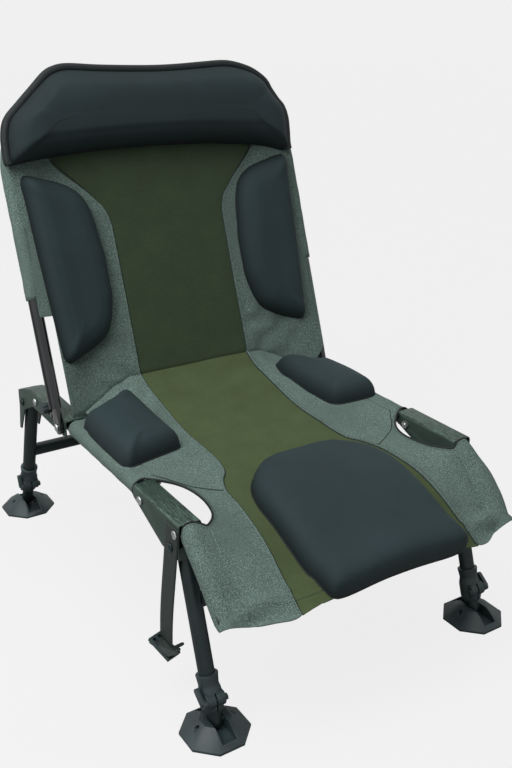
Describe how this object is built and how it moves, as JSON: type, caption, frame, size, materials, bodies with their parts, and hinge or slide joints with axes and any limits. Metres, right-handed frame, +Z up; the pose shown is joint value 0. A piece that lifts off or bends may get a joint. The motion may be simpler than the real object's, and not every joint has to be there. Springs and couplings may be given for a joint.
{
  "type": "folding fishing chair",
  "caption": "Low folding chair with a padded sling seat, a reclining padded back, fold-under tubular legs with clamped telescopic ends, tilting mud feet and a hanging webbing strap.",
  "frame": {"origin": "on the floor, under the middle of the bounding box", "axes": "+Z up, -Y towards the front of the seat, +X to the right of someone who looks along +Y from in front of the chair, so the strap is on the -X side"},
  "size_m": [0.626, 0.9154, 0.8918],
  "materials": {
    "frame_paint": "satin powder coat",
    "gloss_tube": "gloss black paint",
    "bracket_paint": "satin green-grey paint",
    "black_plastic": "fine grain",
    "plain_steel": "bright zinc",
    "sling_fabric": "grey melange with an olive green centre panel",
    "pad_fabric": "smooth dark knit",
    "webbing": "flat black webbing"
  },
  "bodies": {
    "seat": {"seat_rail_left": "frame_paint", "seat_rail_right": "frame_paint", "front_bracket_left": "bracket_paint", "front_bracket_right": "bracket_paint", "rear_bracket_left": "bracket_paint", "rear_bracket_right": "bracket_paint", "hip_pad_left": "pad_fabric", "hip_pad_right": "pad_fabric", "front_bracket_bolt_left": "plain_steel", "front_bracket_bolt_right": "plain_steel", "rear_bracket_bolt_left": "plain_steel", "rear_bracket_bolt_right": "plain_steel", "front_leg_pivot_left": "plain_steel", "front_leg_pivot_right": "plain_steel", "rear_leg_pivot_left": "plain_steel", "rear_leg_pivot_right": "plain_steel", "back_pivot_left": "plain_steel", "back_pivot_right": "plain_steel", "seat_front_bar": "frame_paint", "seat_cover": "sling_fabric", "thigh_pad": "pad_fabric", "strap": "webbing", "strap_buckle": "black_plastic", "strap_rivet": "plain_steel"},
    "backrest": {"back_post_left": "gloss_tube", "back_post_right": "gloss_tube", "back_top_bar": "gloss_tube", "back_cover": "sling_fabric", "back_pad_left": "pad_fabric", "back_pad_right": "pad_fabric", "headrest": "pad_fabric"},
    "recline_knob_left": {"recline_knob_left": "black_plastic"},
    "recline_knob_right": {"recline_knob_right": "black_plastic"},
    "front_legs": {"front_leg_tube_left": "frame_paint", "front_leg_tube_right": "frame_paint", "front_leg_collar_left": "black_plastic", "front_leg_collar_right": "black_plastic", "front_leg_cross_bar": "frame_paint"},
    "front_extension_left": {"front_leg_extension_left": "frame_paint"},
    "front_foot_left": {"front_foot_left": "black_plastic", "front_foot_pin_left": "plain_steel"},
    "front_clamp_left": {"front_leg_clamp_left": "black_plastic"},
    "front_extension_right": {"front_leg_extension_right": "frame_paint"},
    "front_foot_right": {"front_foot_right": "black_plastic", "front_foot_pin_right": "plain_steel"},
    "front_clamp_right": {"front_leg_clamp_right": "black_plastic"},
    "rear_legs": {"rear_leg_tube_left": "frame_paint", "rear_leg_tube_right": "frame_paint", "rear_leg_collar_left": "black_plastic", "rear_leg_collar_right": "black_plastic", "rear_leg_cross_bar": "frame_paint"},
    "rear_extension_left": {"rear_leg_extension_left": "frame_paint"},
    "rear_foot_left": {"rear_foot_left": "black_plastic", "rear_foot_pin_left": "plain_steel"},
    "rear_clamp_left": {"rear_leg_clamp_left": "black_plastic"},
    "rear_extension_right": {"rear_leg_extension_right": "frame_paint"},
    "rear_foot_right": {"rear_foot_right": "black_plastic", "rear_foot_pin_right": "plain_steel"},
    "rear_clamp_right": {"rear_leg_clamp_right": "black_plastic"}
  },
  "joints": [
    {"name": "back_recline", "type": "hinge", "parent": "seat", "child": "backrest", "pos_m": [0, 0.11986, 0.304], "axis": [1, 0, 0], "range_deg": [-15, 85], "deforming": ["seat_cover", "hip_pad_left", "hip_pad_right", "back_cover", "back_pad_left", "back_pad_right"]},
    {"name": "front_legs_fold", "type": "hinge", "parent": "seat", "child": "front_legs", "pos_m": [0, -0.28814, 0.276], "axis": [1, 0, 0], "range_deg": [0, 95]},
    {"name": "front_leg_length_left", "type": "slide", "parent": "front_legs", "child": "front_extension_left", "axis": [0, -0.3206, -0.9472], "range_m": [0, 0.12]},
    {"name": "front_foot_tilt_left", "type": "hinge", "parent": "front_extension_left", "child": "front_foot_left", "pos_m": [-0.263, -0.37547, 0.018], "axis": [1, 0, 0], "range_deg": [-30, 8]},
    {"name": "front_clamp_turn_left", "type": "hinge", "parent": "front_legs", "child": "front_clamp_left", "pos_m": [-0.263, -0.37895, 0.05761], "axis": [1, 0, 0], "range_deg": [0, 180]},
    {"name": "front_leg_length_right", "type": "slide", "parent": "front_legs", "child": "front_extension_right", "axis": [0, -0.3206, -0.9472], "range_m": [0, 0.12]},
    {"name": "front_foot_tilt_right", "type": "hinge", "parent": "front_extension_right", "child": "front_foot_right", "pos_m": [0.263, -0.37547, 0.018], "axis": [1, 0, 0], "range_deg": [-30, 8]},
    {"name": "front_clamp_turn_right", "type": "hinge", "parent": "front_legs", "child": "front_clamp_right", "pos_m": [0.263, -0.37895, 0.05761], "axis": [1, 0, 0], "range_deg": [0, 180]},
    {"name": "rear_legs_fold", "type": "hinge", "parent": "seat", "child": "rear_legs", "pos_m": [0, 0.32386, 0.276], "axis": [1, 0, 0], "range_deg": [-94, 0]},
    {"name": "rear_leg_length_left", "type": "slide", "parent": "rear_legs", "child": "rear_extension_left", "axis": [0, 0.309, -0.9511], "range_m": [-0.02, 0.12]},
    {"name": "rear_foot_tilt_left", "type": "hinge", "parent": "rear_extension_left", "child": "rear_foot_left", "pos_m": [-0.263, 0.40769, 0.018], "axis": [1, 0, 0], "range_deg": [-8, 30]},
    {"name": "rear_clamp_turn_left", "type": "hinge", "parent": "rear_legs", "child": "rear_clamp_left", "pos_m": [-0.263, 0.37538, 0.06565], "axis": [1, 0, 0], "range_deg": [0, 180]},
    {"name": "rear_leg_length_right", "type": "slide", "parent": "rear_legs", "child": "rear_extension_right", "axis": [0, 0.309, -0.9511], "range_m": [-0.02, 0.12]},
    {"name": "rear_foot_tilt_right", "type": "hinge", "parent": "rear_extension_right", "child": "rear_foot_right", "pos_m": [0.263, 0.40769, 0.018], "axis": [1, 0, 0], "range_deg": [-8, 30]},
    {"name": "rear_clamp_turn_right", "type": "hinge", "parent": "rear_legs", "child": "rear_clamp_right", "pos_m": [0.263, 0.37538, 0.06565], "axis": [1, 0, 0], "range_deg": [0, 180]},
    {"name": "recline_knob_turn_left", "type": "hinge", "parent": "seat", "child": "recline_knob_left", "pos_m": [-0.29, 0.16807, 0.32348], "axis": [1, 0, 0], "range_deg": [0, 180]},
    {"name": "recline_knob_turn_right", "type": "hinge", "parent": "seat", "child": "recline_knob_right", "pos_m": [0.29, 0.16807, 0.32348], "axis": [1, 0, 0], "range_deg": [0, 180]}
  ]
}
